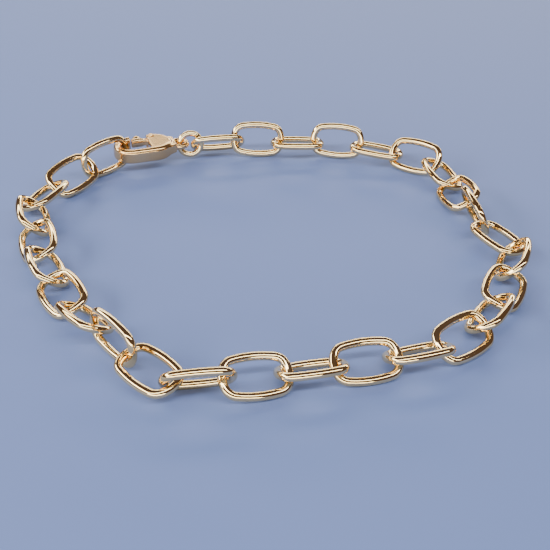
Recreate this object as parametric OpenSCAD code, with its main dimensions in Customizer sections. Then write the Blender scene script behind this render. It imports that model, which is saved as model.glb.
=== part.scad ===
// Link bracelet lying closed on a flat surface. Millimetres, +Z up, floor at Z = 0.
// The links are numbered from the clasp's hook, anticlockwise as seen from above.

/* [Links] */
// Length of a link over its wire
link_len = 7.6; // [7:0.1:9]
// Width of a link over its wire
link_wid = 4.95; // [4.6:0.05:5.6]
// Thickness of a link's round wire
wire_dia = 0.9; // [0.7:0.05:1.0]
// Bend radius of a link's corners, to the middle of the wire
link_bend = 1.3; // [1.1:0.05:1.5]
// How far a link's long side bows out past its corners
side_bow = 0.18; // [0.1:0.02:0.36]
// How far a link's end bows out past its corners
end_bow = 0.12; // [0.06:0.02:0.2]
// Gap where two links pull on each other
link_play = 0.2; // [0.08:0.02:0.3]

/* [Jump ring] */
// Outer diameter of the ring between the last link and the clasp
ring_dia = 3.8; // [3.4:0.1:4.6]
// Thickness of the ring's wire
ring_wire = 0.8; // [0.6:0.05:0.9]
// Lean of the ring from lying flat, 90 standing upright
ring_lean = 100; // [80:5:110]

/* [Clasp] */
// Length of the clasp, hook end to eye end
clasp_len = 10.5; // [10.2:0.1:13]
// Width of the clasp over its hook
clasp_wid = 5.0; // [4.8:0.1:6]
// Thickness of the clasp's body
clasp_thick = 2.0; // [1.8:0.1:2.4]
// Width of the hook's bar, seen from above
bar_wid = 1.05; // [1.0:0.05:1.3]
// Outer diameter of the eye that holds the jump ring
eye_dia = 2.8; // [2.6:0.1:3.4]
// Thickness of the eye's round rim
eye_wire = 0.75; // [0.6:0.05:0.8]
// Width of the neck between heel and eye
neck_wid = 1.9; // [1.4:0.1:2.2]
// Thickness of the neck
neck_thick = 1.3; // [0.9:0.1:1.6]
// Length of the heel from its round back's middle to its front
heel_len = 0.7; // [0.5:0.1:1.2]
// Length of the hook's straight tip
tip_len = 0.15; // [0.1:0.05:0.6]
// Slack of the first link in the hook
hook_slack = 0.35; // [0.25:0.05:0.7]
// Gap between the hook's underside and the wire that passes below it
hook_lift = 0.48; // [0.3:0.02:0.6]

/* [Lever] */
// Width of the lever's arm, seen from above
lever_wid = 0.9; // [0.7:0.05:1.0]
// Thickness of the lever's arm
lever_thick = 1.3; // [1.1:0.05:1.6]
// Thickness of the lever's hub inside the body's slot
tang_thick = 0.8; // [0.6:0.05:1.0]
// Metal of the lever's hub round its hole
hub_wall = 0.4; // [0.3:0.05:0.5]
// Diameter of the lever's round thumb tab
tab_dia = 1.3; // [1.0:0.05:1.6]
// Diameter of the rivet that the lever turns on
rivet_dia = 0.6; // [0.5:0.05:0.7]
// Height of the rivet's heads
rivet_head = 0.12; // [0.08:0.02:0.2]
// Gap between the lever and what it moves past
lever_gap = 0.08; // [0.06:0.01:0.12]
// Gap round the rivet, on the radius
rivet_gap = 0.04; // [0.02:0.01:0.08]

/* [Hidden] */
$fn = 96;

// How the chain lies, chosen by eye: points of one closed line on the floor, from the hook
// anticlockwise. The line is scaled to the chain's real length.
route = [
    [-21.5, 25.5], [-28.75, 17.25], [-29, 14.5], [-30.75, 11.25], [-26.25, -1.75],
    [-20.25, -11.25], [-10.5, -21.25], [-8.25, -20.75], [-7.75, -21.75], [3, -18.75],
    [15.75, -15.25], [22, -11], [28.25, 2], [29, 4], [27.75, 5.75],
    [26.25, 6.75], [23.75, 18], [21, 27.75], [18.25, 28.5], [7.5, 31],
    [-5.25, 30.25], [-7.75, 28.25], [-10.75, 29.25]
];
// How far each link leans from lying flat, in degrees, to one side or the other in turn
lean = [
    -83, -37, 24, -40, 27, -32, 22, -29, 88, 11,
    -56, 32, -26, 32, -28, 33, -35, 18, -46, 9,
    68, -32, 20, -48, 10, -75, 12, -75, 44
];

link_count = len(lean);
link_names = [for (i = [1:link_count]) str("link_", i < 10 ? "0" : "", i)];

// Half sizes of a link to the middle of its wire
link_half_len = (link_len - wire_dia) / 2;
link_half_wid = (link_wid - wire_dia) / 2;
ring_radius = (ring_dia - ring_wire) / 2;

// A link's outline is eight arcs that run into each other: sides, ends and corners
link_corner = [link_half_len - link_bend - end_bow, link_half_wid - link_bend - side_bow];
function bowed_radius(half, bow) = (half * half + 2 * link_bend * bow + bow * bow) / (2 * bow);
side_radius = bowed_radius(link_corner[0], side_bow);
end_radius = bowed_radius(link_corner[1], end_bow);
// Half of the turn that a side or an end makes
side_turn = asin(link_corner[0] / (side_radius - link_bend));
end_turn = asin(link_corner[1] / (end_radius - link_bend));
corner_turn = 90 - side_turn - end_turn;
// The wire swells a hair where it is bent sharply, and each corner laps over its neighbours' ends
corner_swell = 0.01;
corner_lap = 2;

// Steps from one contact of the chain to the next
link_step = link_len - 2 * wire_dia - link_play;
ring_step = ring_dia - 2 * ring_wire - link_play;
clasp_step = clasp_len - bar_wid - eye_wire - link_play / 2 - hook_slack / 2;
steps = concat([for (i = lean) link_step], [ring_step, clasp_step]);

function total(list, i = 0) = i == len(list) ? 0 : list[i] + total(list, i + 1);

// One smooth closed line through the route's points
function between(a, b, c, d, t) =
    0.5 * (2 * b + (c - a) * t + (2 * a - 5 * b + 4 * c - d) * t * t
        + (3 * b - a - 3 * c + d) * t * t * t);
smooth_steps = 8;
route_line = [
    for (i = [0:len(route) - 1], k = [0:smooth_steps - 1])
        between(route[(i + len(route) - 1) % len(route)], route[i],
            route[(i + 1) % len(route)], route[(i + 2) % len(route)], k / smooth_steps)
];
function leg_start(leg) = route_line[leg % len(route_line)];
line_length = total([for (i = [0:len(route_line) - 1]) norm(leg_start(i + 1) - leg_start(i))]);

// The point of the line after a given leg that is one step from here, all divided by the scale
function meet(here, from, to, step) =
    let (run = to - from, off = from - here, a = run * run, b = off * run,
        c = off * off - step * step)
    from + run * ((sqrt(max(0, b * b - a * c)) - b) / a);
function stride(here, leg, step) =
    norm(leg_start(leg + 1) - here) < step
        ? stride(here, leg + 1, step)
        : [leg, meet(here, leg_start(leg), leg_start(leg + 1), step)];
function walk(scale, i = 0, leg = 0, here = route_line[0]) =
    i == len(steps)
        ? [[leg, here]]
        : let (next = stride(here, leg, steps[i] / scale))
            concat([[leg, here]], walk(scale, i + 1, next[0], next[1]));

// The scale at which the walk ends where it began
function overshoot(scale) =
    let (end = walk(scale)[len(steps)])
    (end[0] < len(route_line) ? -1 : 1) * norm(end[1] - route_line[0]);
function closing(scale, tries) =
    tries == 0 ? scale : closing(scale * (1 + overshoot(scale) / line_length), tries - 1);
route_scale = closing(total(steps) / line_length, 8);
contacts = [for (stop = walk(route_scale)) stop[1] * route_scale];

// Middle and heading of each piece of the chain, on the floor's plane
function middle(i) = (contacts[i] + contacts[i + 1]) / 2;
function heading(i) =
    let (run = contacts[i + 1] - contacts[i]) atan2(run[1], run[0]);
// Height of a leaning loop's middle when it rests on the floor
function rest_height(half_wid, angle, wire) = half_wid * abs(sin(angle)) + wire / 2;
// The clasp lies level on the wire that passes below its hook, and its eye carries the ring
clasp_height = wire_dia + hook_lift + clasp_thick / 2;
ring_drop = 0.2;
ring_height = max(rest_height(ring_radius, ring_lean, ring_wire), clasp_height - ring_drop);
own_heights = concat([clasp_height],
    [for (angle = lean) rest_height(link_half_wid, angle, wire_dia)], [ring_height]);

// Two pieces meet a little nearer to the height of the higher one, so each link slopes
higher_share = 0.6;
function contact_height(i) =
    let (pair = [own_heights[i], own_heights[i + 1]])
    higher_share * max(pair) + (1 - higher_share) * min(pair);
function slope(i) = atan((contact_height(i + 1) - contact_height(i)) / link_step);

// Directions of a link's length and width
function along(i) =
    [cos(slope(i)) * cos(heading(i)), cos(slope(i)) * sin(heading(i)), sin(slope(i))];
function across(i) =
    let (side = [-sin(heading(i)), cos(heading(i)), 0])
    cos(lean[i]) * side + sin(lean[i]) * cross(along(i), side);
// Reach of a link from its middle in a given direction
function half_reach(i, way) =
    let (a = abs(along(i) * way), b = abs(across(i) * way), turn = atan2(b, a))
    (wire_dia + corner_swell) / 2 + (
        turn > 90 - side_turn ? side_radius * norm([a, b]) + (link_half_wid - side_radius) * b
        : turn < end_turn ? end_radius * norm([a, b]) + (link_half_len - end_radius) * a
        : link_bend * norm([a, b]) + link_corner * [a, b]
    );
// A link's middle lies midway between its contacts, or higher where it would meet the floor
function link_height(i) =
    max(half_reach(i, [0, 0, -1]), (contact_height(i) + contact_height(i + 1)) / 2);

// Middle of the whole chain on the floor
function chain_reach(way) = max([
    for (i = [0:link_count - 1]) middle(i) * [way[0], way[1]] + half_reach(i, way)
]);
chain_middle = [
    (chain_reach([1, 0, 0]) - chain_reach([-1, 0, 0])) / 2,
    (chain_reach([0, 1, 0]) - chain_reach([0, -1, 0])) / 2
];

// The clasp in its own frame: X from the eye to the hook, Y to the lever, Z up through its thickness
bend_radius = (clasp_wid - bar_wid) / 2;
hook_x = clasp_len / 2 - clasp_wid / 2;
eye_x = -clasp_len / 2 + eye_dia / 2;
heel_x = -clasp_len / 2 + eye_dia - eye_wire / 2 + clasp_wid / 2;
heel_front = heel_x + heel_len;
eye_hole = eye_dia - 2 * eye_wire;
// Turn from the clasp's length to where the neck leaves the heel's disc
neck_turn = 50;
hook_tip_x = hook_x - tip_len;
// The lever's pivot, hub and slot
hub_radius = rivet_dia / 2 + rivet_gap + hub_wall;
hub_inset = 0.03;
pivot = [heel_x, clasp_wid / 2 - hub_radius - hub_inset];
slot_thick = tang_thick + 2 * lever_gap;
slot_floor = pivot[1] - hub_radius - 2.5 * lever_gap;
slot_back = pivot[0] - hub_radius - 2 * lever_gap;
// The lever's arm is thin in the slot and thicker from there to the hook's tip
swing_room = 0.45;
arm_start = heel_front + swing_room;
arm_y = clasp_wid / 2 - bar_wid / 2;
arm_overlap = 0.2;
// The arm is as long as lets its outer corner swing past the hook's tip
arm_reach = hook_tip_x - lever_gap - pivot[0];
arm_corner = arm_y + lever_wid / 2 - pivot[1];
arm_end = pivot[0] + sqrt(arm_reach * arm_reach - arm_corner * arm_corner);
// The thumb tab sits near the arm's end and stands out past the clasp's side
tab_x = arm_end - 0.7 * tab_dia;
tab_y = clasp_wid / 2 + 0.2 * tab_dia;
// The rivet fills its hole, and its heads are wider than the hole
rivet_fit = 0.01;
rivet_head_dia = rivet_dia + 0.2;
// Contacts of the clasp with the jump ring and the first link
clasp_contact_x = [
    -clasp_len / 2 + eye_wire + link_play / 2,
    clasp_len / 2 - bar_wid - hook_slack / 2
];

// A round bar bent through an angle, its centre line an arc round the origin
module bent_wire(radius, dia, angle) {
    rotate_extrude(angle = angle) translate([radius, 0]) circle(d = dia);
}

// A closed loop of round wire with bowed sides, bowed ends and round corners, lying in XY
module wire_loop() {
    for (turn = [0, 180]) rotate([0, 0, turn]) {
        translate([0, link_half_wid - side_radius, 0])
            rotate([0, 0, 90 - side_turn]) bent_wire(side_radius, wire_dia, 2 * side_turn);
        translate([link_half_len - end_radius, 0, 0])
            rotate([0, 0, -end_turn]) bent_wire(end_radius, wire_dia, 2 * end_turn);
        translate(link_corner) corner_bend(end_turn);
        translate([-link_corner[0], link_corner[1]]) corner_bend(90 + side_turn);
    }
}

// One corner of a link, from where the arc before it ends
module corner_bend(start) {
    rotate([0, 0, start - corner_lap])
        bent_wire(link_bend, wire_dia + corner_swell, corner_turn + 2 * corner_lap);
}

// Puts a piece of the chain where it lies
module lay(i, height, angle, rise = 0) {
    translate([each middle(i) - chain_middle, height])
        rotate([0, -rise, heading(i)]) rotate([angle, 0, 0]) children();
}

module link(i) {
    color("gold") lay(i, link_height(i), lean[i], slope(i)) wire_loop();
}

module jump_ring() {
    color("goldenrod") lay(link_count, ring_height, ring_lean)
        rotate_extrude() translate([ring_radius, 0]) circle(d = ring_wire);
}

// Puts the clasp's frame where the clasp lies, turned over so that its lever is outside the loop
module lay_clasp() {
    contact_middle = (clasp_contact_x[0] + clasp_contact_x[1]) / 2;
    lay(link_count + 1, clasp_height, 180) translate([-contact_middle, 0, 0]) children();
}

// Section of a bar with round edges, its middle at the origin
module bar_section(width, height) {
    flat = (height - width) / 2;
    for (side = [-1, 1]) translate([0, side * flat]) circle(d = width);
    square([width, 2 * flat], center = true);
}

module straight_bar(length, width, height) {
    rotate([90, 0, 90]) linear_extrude(length) bar_section(width, height);
}

// Solid disc with round edges, as thick as the clasp
module heel_disc() {
    rotate_extrude() {
        translate([bend_radius, 0]) intersection() {
            bar_section(bar_wid, clasp_thick);
            translate([0, -clasp_thick]) square([bar_wid, 2 * clasp_thick]);
        }
        translate([0, -clasp_thick / 2]) square([bend_radius, clasp_thick]);
    }
}

// The neck narrows from the heel's disc to the eye's rim
module neck() {
    half = neck_wid / 2;
    shoulder = clasp_wid / 2 * [cos(neck_turn), sin(neck_turn)];
    linear_extrude(neck_thick, center = true) polygon([
        [heel_x - shoulder[0], -shoulder[1]], [eye_x, -half],
        [eye_x, half], [heel_x - shoulder[0], shoulder[1]]
    ]);
}

module clasp_heel() {
    difference() {
        union() {
            translate([heel_x, 0, 0]) heel_disc();
            intersection() {
                neck();
                translate([eye_x + eye_hole / 2, -clasp_wid, -clasp_thick])
                    cube([clasp_len, 2 * clasp_wid, 2 * clasp_thick]);
            }
        }
        translate([heel_front, -clasp_wid, -clasp_thick]) cube([clasp_wid, 2 * clasp_wid, 2 * clasp_thick]);
        translate([slot_back, slot_floor, -slot_thick / 2])
            cube([clasp_wid, clasp_wid, slot_thick]);
        translate([each pivot, -clasp_thick]) cylinder(d = rivet_dia, h = 2 * clasp_thick);
    }
}

module clasp_body() {
    color("darkgoldenrod") lay_clasp() union() {
        clasp_heel();
        translate([heel_x, -arm_y, 0]) straight_bar(hook_x - heel_x, bar_wid, clasp_thick);
        translate([hook_x, 0, 0]) rotate([0, 0, -90])
            rotate_extrude(angle = 180) translate([bend_radius, 0]) bar_section(bar_wid, clasp_thick);
        translate([hook_tip_x, arm_y, 0]) straight_bar(hook_x - hook_tip_x, bar_wid, clasp_thick);
        translate([eye_x, 0, 0]) rotate_extrude()
            translate([(eye_dia - eye_wire) / 2, 0]) circle(d = eye_wire);
    }
}

module clasp_rivet() {
    reach = clasp_thick / 2 + rivet_fit;
    color("gold") lay_clasp() translate([each pivot, 0]) {
        cylinder(d = rivet_dia - 2 * rivet_fit, h = 2 * reach, center = true);
        for (side = [-1, 1]) translate([0, 0, side * (reach + rivet_head / 2)])
            cylinder(d = rivet_head_dia, h = rivet_head, center = true);
    }
}

module clasp_lever() {
    color("khaki") lay_clasp() difference() {
        union() {
            translate([each pivot, 0]) cylinder(r = hub_radius, h = tang_thick, center = true);
            translate([pivot[0], arm_y - lever_wid / 2, -tang_thick / 2])
                cube([arm_start - pivot[0] + arm_overlap, lever_wid, tang_thick]);
            translate([arm_start, arm_y, 0]) straight_bar(arm_end - arm_start, lever_wid, lever_thick);
            translate([tab_x, tab_y, 0]) sphere(d = tab_dia);
        }
        translate([each pivot, -clasp_thick])
            cylinder(r = rivet_dia / 2 + rivet_gap, h = 2 * clasp_thick);
    }
}

for (i = [0:link_count - 1]) link(i);
jump_ring();
clasp_body();
clasp_rivet();
clasp_lever();
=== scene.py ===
# %% [markdown]
# # A gold link bracelet
# This lesson dresses a small cable chain that lies closed on a pale surface. The frame holds each
# link, the jump ring and the clasp at their true places, and every piece made here stands where
# its node stands.

# %% The frame
from math import asin, cos, pi, radians, sin

import bpy
import numpy as np
from mathutils import Matrix, Vector


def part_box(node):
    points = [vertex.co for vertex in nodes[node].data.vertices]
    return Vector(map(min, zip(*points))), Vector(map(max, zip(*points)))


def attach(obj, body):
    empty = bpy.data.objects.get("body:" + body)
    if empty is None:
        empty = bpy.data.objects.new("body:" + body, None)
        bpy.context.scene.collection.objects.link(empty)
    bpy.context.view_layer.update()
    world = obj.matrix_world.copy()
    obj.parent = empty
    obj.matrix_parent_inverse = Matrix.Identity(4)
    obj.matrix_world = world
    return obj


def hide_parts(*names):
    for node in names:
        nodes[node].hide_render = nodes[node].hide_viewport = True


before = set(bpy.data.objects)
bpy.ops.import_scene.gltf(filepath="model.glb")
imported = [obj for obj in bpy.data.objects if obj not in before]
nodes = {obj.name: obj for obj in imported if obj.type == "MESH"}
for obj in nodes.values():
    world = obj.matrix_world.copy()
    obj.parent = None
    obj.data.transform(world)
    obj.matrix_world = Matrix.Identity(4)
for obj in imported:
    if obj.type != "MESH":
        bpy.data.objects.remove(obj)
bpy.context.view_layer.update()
MM = 0.001

# %% [markdown]
# ## The camera
# The photograph looks down at the loop from in front, about as steeply as a person who leans over
# a table. A camera is placed by where it aims, how far off it stands, how high it is and how much
# it rolls, and its axes are built from those four values instead of a tracking constraint, so that
# nothing moves it later.

# %% The camera
AIM = Vector((1.11 * MM, -5.03 * MM, 0))
DISTANCE = 105.9 * MM
ELEVATION = radians(34.4)
ROLL = radians(1.75)
FIELD_OF_VIEW = radians(33.15)


def camera_matrix():
    forward = Vector((0, cos(ELEVATION), -sin(ELEVATION)))
    level = Vector((1, 0, 0))
    raised = level.cross(forward)
    right = cos(ROLL) * level + sin(ROLL) * raised
    up = -sin(ROLL) * level + cos(ROLL) * raised
    turn = Matrix((right, up, -forward)).transposed().to_4x4()
    return Matrix.Translation(AIM - DISTANCE * forward) @ turn


bpy.ops.object.camera_add()
camera = bpy.context.object
camera.matrix_world = camera_matrix()
camera.data.angle = FIELD_OF_VIEW
camera.data.clip_start = MM
bpy.context.scene.camera = camera
print("camera at", [round(v / MM, 1) for v in camera.matrix_world.translation], "mm")

# %% [markdown]
# ## A way to write materials
# A material is a sum: colour, roughness and a little relief, each made of noise. Node links drawn
# one by one hide that sum, so a small class wraps a socket and lets Python's own signs add the
# Math nodes. Every other node comes from one method that takes its type, its settings and the
# values or links of its sockets.

# %% A socket with arithmetic
class Wire:
    """One output socket. Signs between wires and numbers add Math nodes."""

    def __init__(self, graph, socket):
        self.graph = graph
        self.socket = socket

    def math(self, operation, first, second):
        return self.graph.add("ShaderNodeMath", {"operation": operation},
                              {0: first, 1: second})["Value"]

    def __add__(self, other):
        return self.math("ADD", self, other)

    def __sub__(self, other):
        return self.math("SUBTRACT", self, other)

    def __rsub__(self, other):
        return self.math("SUBTRACT", other, self)

    def __mul__(self, other):
        return self.math("MULTIPLY", self, other)

    __radd__ = __add__
    __rmul__ = __mul__


class Graph:
    """A material's node tree."""

    def __init__(self, name):
        self.material = bpy.data.materials.new(name)
        self.material.use_nodes = True
        self.tree = self.material.node_tree
        self.tree.nodes.clear()

    def add(self, kind, settings=None, inputs=None):
        node = self.tree.nodes.new(kind)
        for key, value in (settings or {}).items():
            if key == "stops":
                for k, (place, colour) in enumerate(value):
                    ramp = node.color_ramp.elements
                    stop = ramp[k] if k < 2 else ramp.new(place)
                    stop.position = place
                    stop.color = colour
            else:
                setattr(node, key, value)
        for key, value in (inputs or {}).items():
            if isinstance(value, Wire):
                self.tree.links.new(value.socket, node.inputs[key])
            else:
                node.inputs[key].default_value = value
        return {out.name: Wire(self, out) for out in node.outputs if out.enabled}


# %% [markdown]
# ## Pale gold plate
# The chain is brass under a thin polished layer of pale gold. Real plating is never one colour: it
# is a little redder where it is thin, it carries faint cloudy polish marks, and fine hairlines
# catch the light. Three noises at those three sizes make it, one for the colour, one for the
# roughness and a stretched one for the hairlines. All read Object coordinates, so each link gets
# its own stretch of the pattern. The clasp is cast, not drawn, so it takes a softer polish than the
# wire's. Its gold is also painted darker and deeper than the wire's. This is painted shade that
# stands in for the dim room the clasp mirrors.

# %% The gold
# The wire's gold and the cast clasp's, each where the plate is thick and where it is thin; the clasp's
# pair is darkened as painted shade
PALE_GOLD = (0.97, 0.755, 0.41, 1)
WARM_GOLD = (0.95, 0.67, 0.29, 1)
SHADED_CAST_GOLD = (0.86, 0.58, 0.28, 1)
SHADED_CAST_WARM = (0.80, 0.49, 0.20, 1)
# The noise values at which the plate is wholly thin and wholly thick
THIN_BELOW = 0.35
THICK_ABOVE = 0.62
# The size in millimetres and the detail of each of the three noises
THIN_PATCH = (6.0, 2.0)
POLISH_CLOUD = (0.9, 4.0)
HAIRLINE = (1.2, 6.0)
HAIRLINE_TURN = (0.5, 0.3, 0.7)
HAIRLINE_STRETCH = (1.0, 9.0, 9.0)
HAIRLINE_DEPTH = 0.01
# How much the polish marks and the hairlines change the roughness
CLOUD_ROUGHNESS = 0.06
HAIRLINE_ROUGHNESS = 0.03


def gold_plate(name, thick, thin, roughness, hairline):
    """Polished plate. hairline is how strongly the hairlines stand out, from 0 to 1."""
    graph = Graph(name)
    place = graph.add("ShaderNodeTexCoord")["Object"]

    def noise(where, size_and_detail):
        size, detail = size_and_detail
        return graph.add("ShaderNodeTexNoise", None,
                         {"Vector": where, "Scale": 1 / (size * MM), "Detail": detail})["Fac"]

    stretched = graph.add("ShaderNodeMapping", None, {
        "Vector": place, "Rotation": HAIRLINE_TURN, "Scale": HAIRLINE_STRETCH})["Vector"]
    patch = noise(place, THIN_PATCH)
    cloud = noise(place, POLISH_CLOUD)
    lines = noise(stretched, HAIRLINE)
    colour = graph.add("ShaderNodeValToRGB", {"stops": [(THIN_BELOW, thin), (THICK_ABOVE, thick)]},
                       {"Fac": patch})["Color"]
    relief = graph.add("ShaderNodeBump", None, {
        "Height": lines, "Strength": hairline, "Distance": HAIRLINE_DEPTH * MM})["Normal"]
    marks = CLOUD_ROUGHNESS * (cloud - 0.5) + HAIRLINE_ROUGHNESS * (lines - 0.5)
    surface = graph.add("ShaderNodeBsdfPrincipled", None, {
        "Base Color": colour, "Metallic": 1.0, "Normal": relief,
        "Roughness": roughness + marks})["BSDF"]
    graph.add("ShaderNodeOutputMaterial", None, {"Surface": surface})
    return graph.material


link_gold = gold_plate("link_gold", PALE_GOLD, WARM_GOLD, roughness=0.07, hairline=0.08)
# The clasp's gold is darker than the wire's as painted shade for the dim room it mirrors
shaded_clasp_gold = gold_plate("shaded_clasp_gold", SHADED_CAST_GOLD, SHADED_CAST_WARM, roughness=0.2, hairline=0.04)
print("materials:", link_gold.name, shaded_clasp_gold.name)

# %% [markdown]
# ## One link
# A cable link is a length of round wire bent into an oblong and soldered shut. No part of it is
# quite straight: its long sides and its ends bow out a little between tight corners. A torus has
# the wrong outline and a bevelled curve gives no say over its rings, so the wire is drawn the way
# a jeweller bends it: a circle, the wire's section, is spun through eight arcs, each of which
# leaves off in the direction in which the next begins, until it meets its own start. It is made
# once, in millimetres round the origin.

# %% One link
LINK_LENGTH = 7.6
LINK_WIDTH = 4.95
WIRE = 0.9
BEND = 1.3
SIDE_BOW = 0.18
END_BOW = 0.12
WIRE_SIDES = 32
BEND_STEPS = 11
MERGE = 0.001


def start_section(centre, diameter, sides):
    """A round wire's section that faces along X, alone in edit mode and selected."""
    bpy.ops.object.select_all(action="DESELECT")
    bpy.ops.mesh.primitive_circle_add(vertices=sides, radius=diameter / 2, location=centre,
                                      rotation=(0, pi / 2, 0))
    bpy.ops.object.transform_apply()
    bpy.ops.object.mode_set(mode="EDIT")
    bpy.ops.mesh.select_all(action="SELECT")


def bend(centre, steps, angle):
    """Spins the open end anticlockwise, seen from above: the operator's own sense is the opposite."""
    bpy.ops.mesh.spin(steps=steps, angle=angle, center=centre, axis=(0, 0, -1))


def close_wire(name):
    """Joins the last ring to the first, turns the faces outwards and names the piece."""
    bpy.ops.mesh.select_all(action="SELECT")
    bpy.ops.mesh.remove_doubles(threshold=MERGE)
    bpy.ops.mesh.normals_make_consistent(inside=False)
    bpy.ops.object.mode_set(mode="OBJECT")
    bpy.ops.object.shade_smooth()
    piece = bpy.context.object
    piece.name = name
    return piece


def bowed_radius(half, bow):
    """Radius of a side that runs half its length either way and bows out beyond its corners."""
    return (half * half + 2 * BEND * bow + bow * bow) / (2 * bow)


def model_link():
    half_length = (LINK_LENGTH - WIRE) / 2
    half_width = (LINK_WIDTH - WIRE) / 2
    x = half_length - BEND - END_BOW
    y = half_width - BEND - SIDE_BOW
    side_radius = bowed_radius(x, SIDE_BOW)
    end_radius = bowed_radius(y, END_BOW)
    side_turn = asin(x / (side_radius - BEND))
    end_turn = asin(y / (end_radius - BEND))
    corner_turn = pi / 2 - side_turn - end_turn
    side = side_radius - half_width
    end = half_length - end_radius
    start_section((0, -half_width, 0), WIRE, WIRE_SIDES)
    bend((0, side, 0), BEND_STEPS, side_turn)
    for half in (1, -1):
        bend((half * x, -half * y, 0), BEND_STEPS, corner_turn)
        bend((half * end, 0, 0), BEND_STEPS, 2 * end_turn)
        bend((half * x, half * y, 0), BEND_STEPS, corner_turn)
        bend((0, -half * side, 0), BEND_STEPS, (1 if half < 0 else 2) * side_turn)
    return close_wire("one_link")


one_link = model_link()
print("one link:", [round(v, 2) for v in one_link.dimensions], "mm,",
      len(one_link.data.polygons), "faces")

# %% [markdown]
# ## Twenty-nine links
# Each link lies its own way, and its node already holds that place. Instead of a list of angles,
# the place is read off the node: the middle of its surface, the direction in which that surface
# reaches furthest, which is the link's length, and the next, which is its width. The model is then
# copied, and each copy is laid over its node with its place in its own mesh.

# %% Reading a place off a node
def surface_axes(node):
    """Middle and longest, middle and shortest directions of a node's surface, by area."""
    mesh = node.data
    points = np.array([v.co for v in mesh.vertices])
    corners = points[np.array([p.vertices for p in mesh.polygons])]
    sides = corners[:, 1:] - corners[:, :1]
    area = np.linalg.norm(np.cross(sides[:, 0], sides[:, 1]), axis=1) / 2
    middle = (corners.mean(axis=1) * area[:, None]).sum(axis=0) / area.sum()
    arms = corners - middle
    whole = arms.sum(axis=1)
    spread = np.einsum("t,tki,tkj->ij", area, arms, arms) + np.einsum("t,ti,tj->ij", area, whole, whole)
    directions = np.linalg.eigh(spread)[1].T[::-1]
    return Vector(middle), [Vector(d) for d in directions]


def node_place(node):
    """The turn and place that lay a model in millimetres over a node, its length along X."""
    middle, (length, width, _) = surface_axes(node)
    turn = Matrix((length, width, length.cross(width))).transposed().to_4x4()
    return Matrix.Translation(middle) @ turn @ Matrix.Scale(MM, 4)


def lay_copy(model, node_name, material, body):
    """A copy of a model with its own mesh, laid over a node, which it replaces."""
    node = nodes[node_name]
    copy = model.copy()
    copy.data = model.data.copy()
    bpy.context.collection.objects.link(copy)
    copy.data.transform(node_place(node))
    return dress(copy, node_name, material, body)


def dress(piece, node_name, material, body):
    piece.name = node_name + "_polished"
    piece.data.name = piece.name
    piece.data.materials.clear()
    piece.data.materials.append(material)
    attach(piece, body)
    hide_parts(node_name)
    return piece


def misfit(piece, node_name):
    """How far a piece's box is from its node's box, in millimetres."""
    points = np.array([v.co for v in piece.data.vertices])
    low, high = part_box(node_name)
    return max(np.abs(points.min(axis=0) - low).max(), np.abs(points.max(axis=0) - high).max()) / MM


# %% Laying the links
link_names = sorted(name for name in nodes if name.startswith("link_"))
links = [lay_copy(one_link, name, link_gold, "bracelet") for name in link_names]
bpy.data.objects.remove(one_link)
print("links:", len(links), "largest misfit in mm:",
      round(max(misfit(link, name) for link, name in zip(links, link_names)), 3))

# %% [markdown]
# ## The jump ring
# The small round ring between the last link and the clasp is bent from thinner wire. Its section
# is spun once all the way round.

# %% The jump ring
RING_DIAMETER = 3.8
RING_WIRE = 0.8
RING_STEPS = 72


def model_ring():
    start_section((0, -(RING_DIAMETER - RING_WIRE) / 2, 0), RING_WIRE, WIRE_SIDES)
    bend((0, 0, 0), RING_STEPS, 2 * pi)
    return close_wire("one_ring")


one_ring = model_ring()
jump_ring = lay_copy(one_ring, "jump_ring", link_gold, "bracelet")
bpy.data.objects.remove(one_ring)
print("jump ring misfit in mm:", round(misfit(jump_ring, "jump_ring"), 3))

# %% [markdown]
# ## The clasp's castings
# A lobster clasp is cast and tumbled, so no edge on it is sharp: the hook, heel, neck and eye flow
# into each other. Bevels stop where such shapes cross. The node's own mesh is copied instead,
# skinned again with small even faces, and relaxed: each point moves halfway to the middle of its
# neighbours, round after round, which rounds each edge and fills each inner corner as tumbling
# does. The work is done in millimetres, because the skin's grid may not be finer than a tenth of
# Blender's millimetre.

# %% The clasp's castings
CAST_GRID = 0.05
RELAX_ROUNDS = 60
RELAX_SHARE = 0.5


def casting(node_name, material, body):
    piece = bpy.data.objects.new(node_name + "_casting", nodes[node_name].data.copy())
    bpy.context.collection.objects.link(piece)
    middle = sum(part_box(node_name), Vector()) / 2
    piece.data.transform(Matrix.Scale(1 / MM, 4) @ Matrix.Translation(-middle))
    bpy.ops.object.select_all(action="DESELECT")
    piece.select_set(True)
    bpy.context.view_layer.objects.active = piece
    bpy.ops.object.mode_set(mode="EDIT")
    bpy.ops.mesh.select_all(action="SELECT")
    bpy.ops.mesh.remove_doubles(threshold=MERGE)
    bpy.ops.object.mode_set(mode="OBJECT")
    bpy.ops.object.modifier_add(type="REMESH")
    skin = piece.modifiers[-1]
    skin.mode = "VOXEL"
    skin.voxel_size = CAST_GRID
    bpy.ops.object.modifier_apply(modifier=skin.name)
    bpy.ops.object.modifier_add(type="SMOOTH")
    relax = piece.modifiers[-1]
    relax.factor = RELAX_SHARE
    relax.iterations = RELAX_ROUNDS
    bpy.ops.object.modifier_apply(modifier=relax.name)
    bpy.ops.object.shade_smooth()
    piece.data.transform(Matrix.Translation(middle) @ Matrix.Scale(MM, 4))
    return dress(piece, node_name, material, body)


clasp_body = casting("clasp_body", shaded_clasp_gold, "bracelet")
clasp_lever = casting("clasp_lever", shaded_clasp_gold, "lever")
for piece, name in ((clasp_body, "clasp_body"), (clasp_lever, "clasp_lever")):
    print(name, len(piece.data.polygons), "faces, misfit in mm:", round(misfit(piece, name), 3))

# %% [markdown]
# ## The rivet
# The lever turns on a pin whose ends are hammered into low domes. Each head shows as a small round
# button, so it is made of a cylinder whose rims are bevelled wide.

# %% The rivet
RIVET_SIDES = 48
RIM_WIDTH = 0.12
RIM_STEPS = 5
RIM_ANGLE = radians(50)


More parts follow.
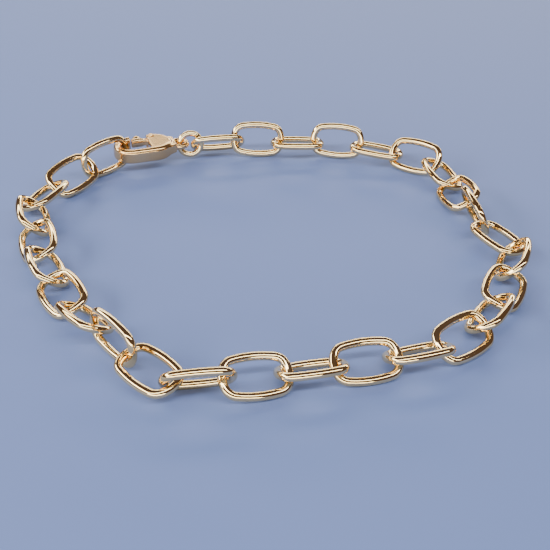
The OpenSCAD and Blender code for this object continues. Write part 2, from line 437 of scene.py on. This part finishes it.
def model_rivet():
    low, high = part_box("clasp_rivet")
    middle = (low + high) / 2
    size = (high - low) / MM
    bpy.ops.object.select_all(action="DESELECT")
    bpy.ops.mesh.primitive_cylinder_add(vertices=RIVET_SIDES, radius=size.x / 2, depth=size.z)
    rivet = bpy.context.object
    bpy.ops.object.modifier_add(type="BEVEL")
    rim = rivet.modifiers[-1]
    rim.width = RIM_WIDTH
    rim.segments = RIM_STEPS
    rim.limit_method = "ANGLE"
    bpy.ops.object.modifier_apply(modifier=rim.name)
    bpy.ops.object.shade_smooth_by_angle(angle=RIM_ANGLE)
    rivet.data.transform(Matrix.Translation(middle) @ Matrix.Scale(MM, 4))
    return dress(rivet, "clasp_rivet", shaded_clasp_gold, "bracelet")


rivet = model_rivet()
print("rivet misfit in mm:", round(misfit(rivet, "clasp_rivet"), 3))

# %% [markdown]
# ## The floor
# The bracelet rests on a plain pale surface with a cool cast, which also colours the undersides of
# the wires.

# %% The floor
FLOOR_COLOUR = (0.165, 0.245, 0.56, 1)
FLOOR_SIZE = 1.6
FLOOR_ROUGHNESS = 0.6


def make_floor():
    graph = Graph("pale_floor")
    surface = graph.add("ShaderNodeBsdfPrincipled", None, {
        "Base Color": FLOOR_COLOUR, "Roughness": FLOOR_ROUGHNESS})["BSDF"]
    graph.add("ShaderNodeOutputMaterial", None, {"Surface": surface})
    bpy.ops.object.select_all(action="DESELECT")
    bpy.ops.mesh.primitive_plane_add(size=FLOOR_SIZE)
    floor = bpy.context.object
    floor.name = "floor"
    floor.data.materials.append(graph.material)
    return floor


floor = make_floor()
print("floor:", [round(v, 2) for v in floor.dimensions], "m")

# %% [markdown]
# ## Studio light
# Polished wire shows the room more than its own colour, so the light is laid out by what a round
# wire mirrors. From the camera, the wire's crown looks up and forward, its face looks back at the
# camera and its lower half looks at the floor. A long window high in front draws the white line
# along each crown, and a low one draws a second, broader line below it; between them the wire
# mirrors the brown, dim room. A window on the left lights the links at that side. The links that
# run away from the camera mirror only what stands behind the bracelet, so a low box there gives
# their edges a rim and a higher, narrow window draws the line along their crowns.

# %% Studio light
def soft_box(name, place, size, power, colour):
    """A rectangular light that faces the bracelet."""
    bpy.ops.object.light_add(type="AREA")
    light = bpy.context.object
    light.name = name
    light.data.shape = "RECTANGLE"
    light.data.size, light.data.size_y = size
    light.data.energy = power
    light.data.color = colour
    turn = (-Vector(place)).to_track_quat("-Z", "Y").to_matrix().to_4x4()
    light.matrix_world = Matrix.Translation(place) @ turn
    return light


# Name, place and size in metres, power in watts, colour
SOFT_BOXES = (
    ("high_window", (0.05, -0.24, 0.48), (1.30, 0.08), 3.7, (1.0, 0.98, 0.94)),
    ("low_window", (-0.10, -0.46, 0.09), (0.90, 0.11), 2.4, (1.0, 0.96, 0.86)),
    ("left_window", (-0.46, -0.06, 0.26), (0.60, 0.13), 2.6, (1.0, 0.97, 0.90)),
    ("back_box", (0.10, 0.50, 0.13), (0.80, 0.06), 1.3, (1.0, 0.95, 0.84)),
    ("back_window", (-0.10, 0.46, 0.30), (0.90, 0.07), 1.3, (1.0, 0.97, 0.90)),
)
ROOM_COLOUR = (0.84, 0.60, 0.58, 1)
ROOM_STRENGTH = 0.12

for name, place, size, power, colour in SOFT_BOXES:
    soft_box(name, place, size, power, colour)

room = bpy.data.worlds.new("dim_room")
room.use_nodes = True
room.node_tree.nodes["Background"].inputs["Color"].default_value = ROOM_COLOUR
room.node_tree.nodes["Background"].inputs["Strength"].default_value = ROOM_STRENGTH
bpy.context.scene.world = room
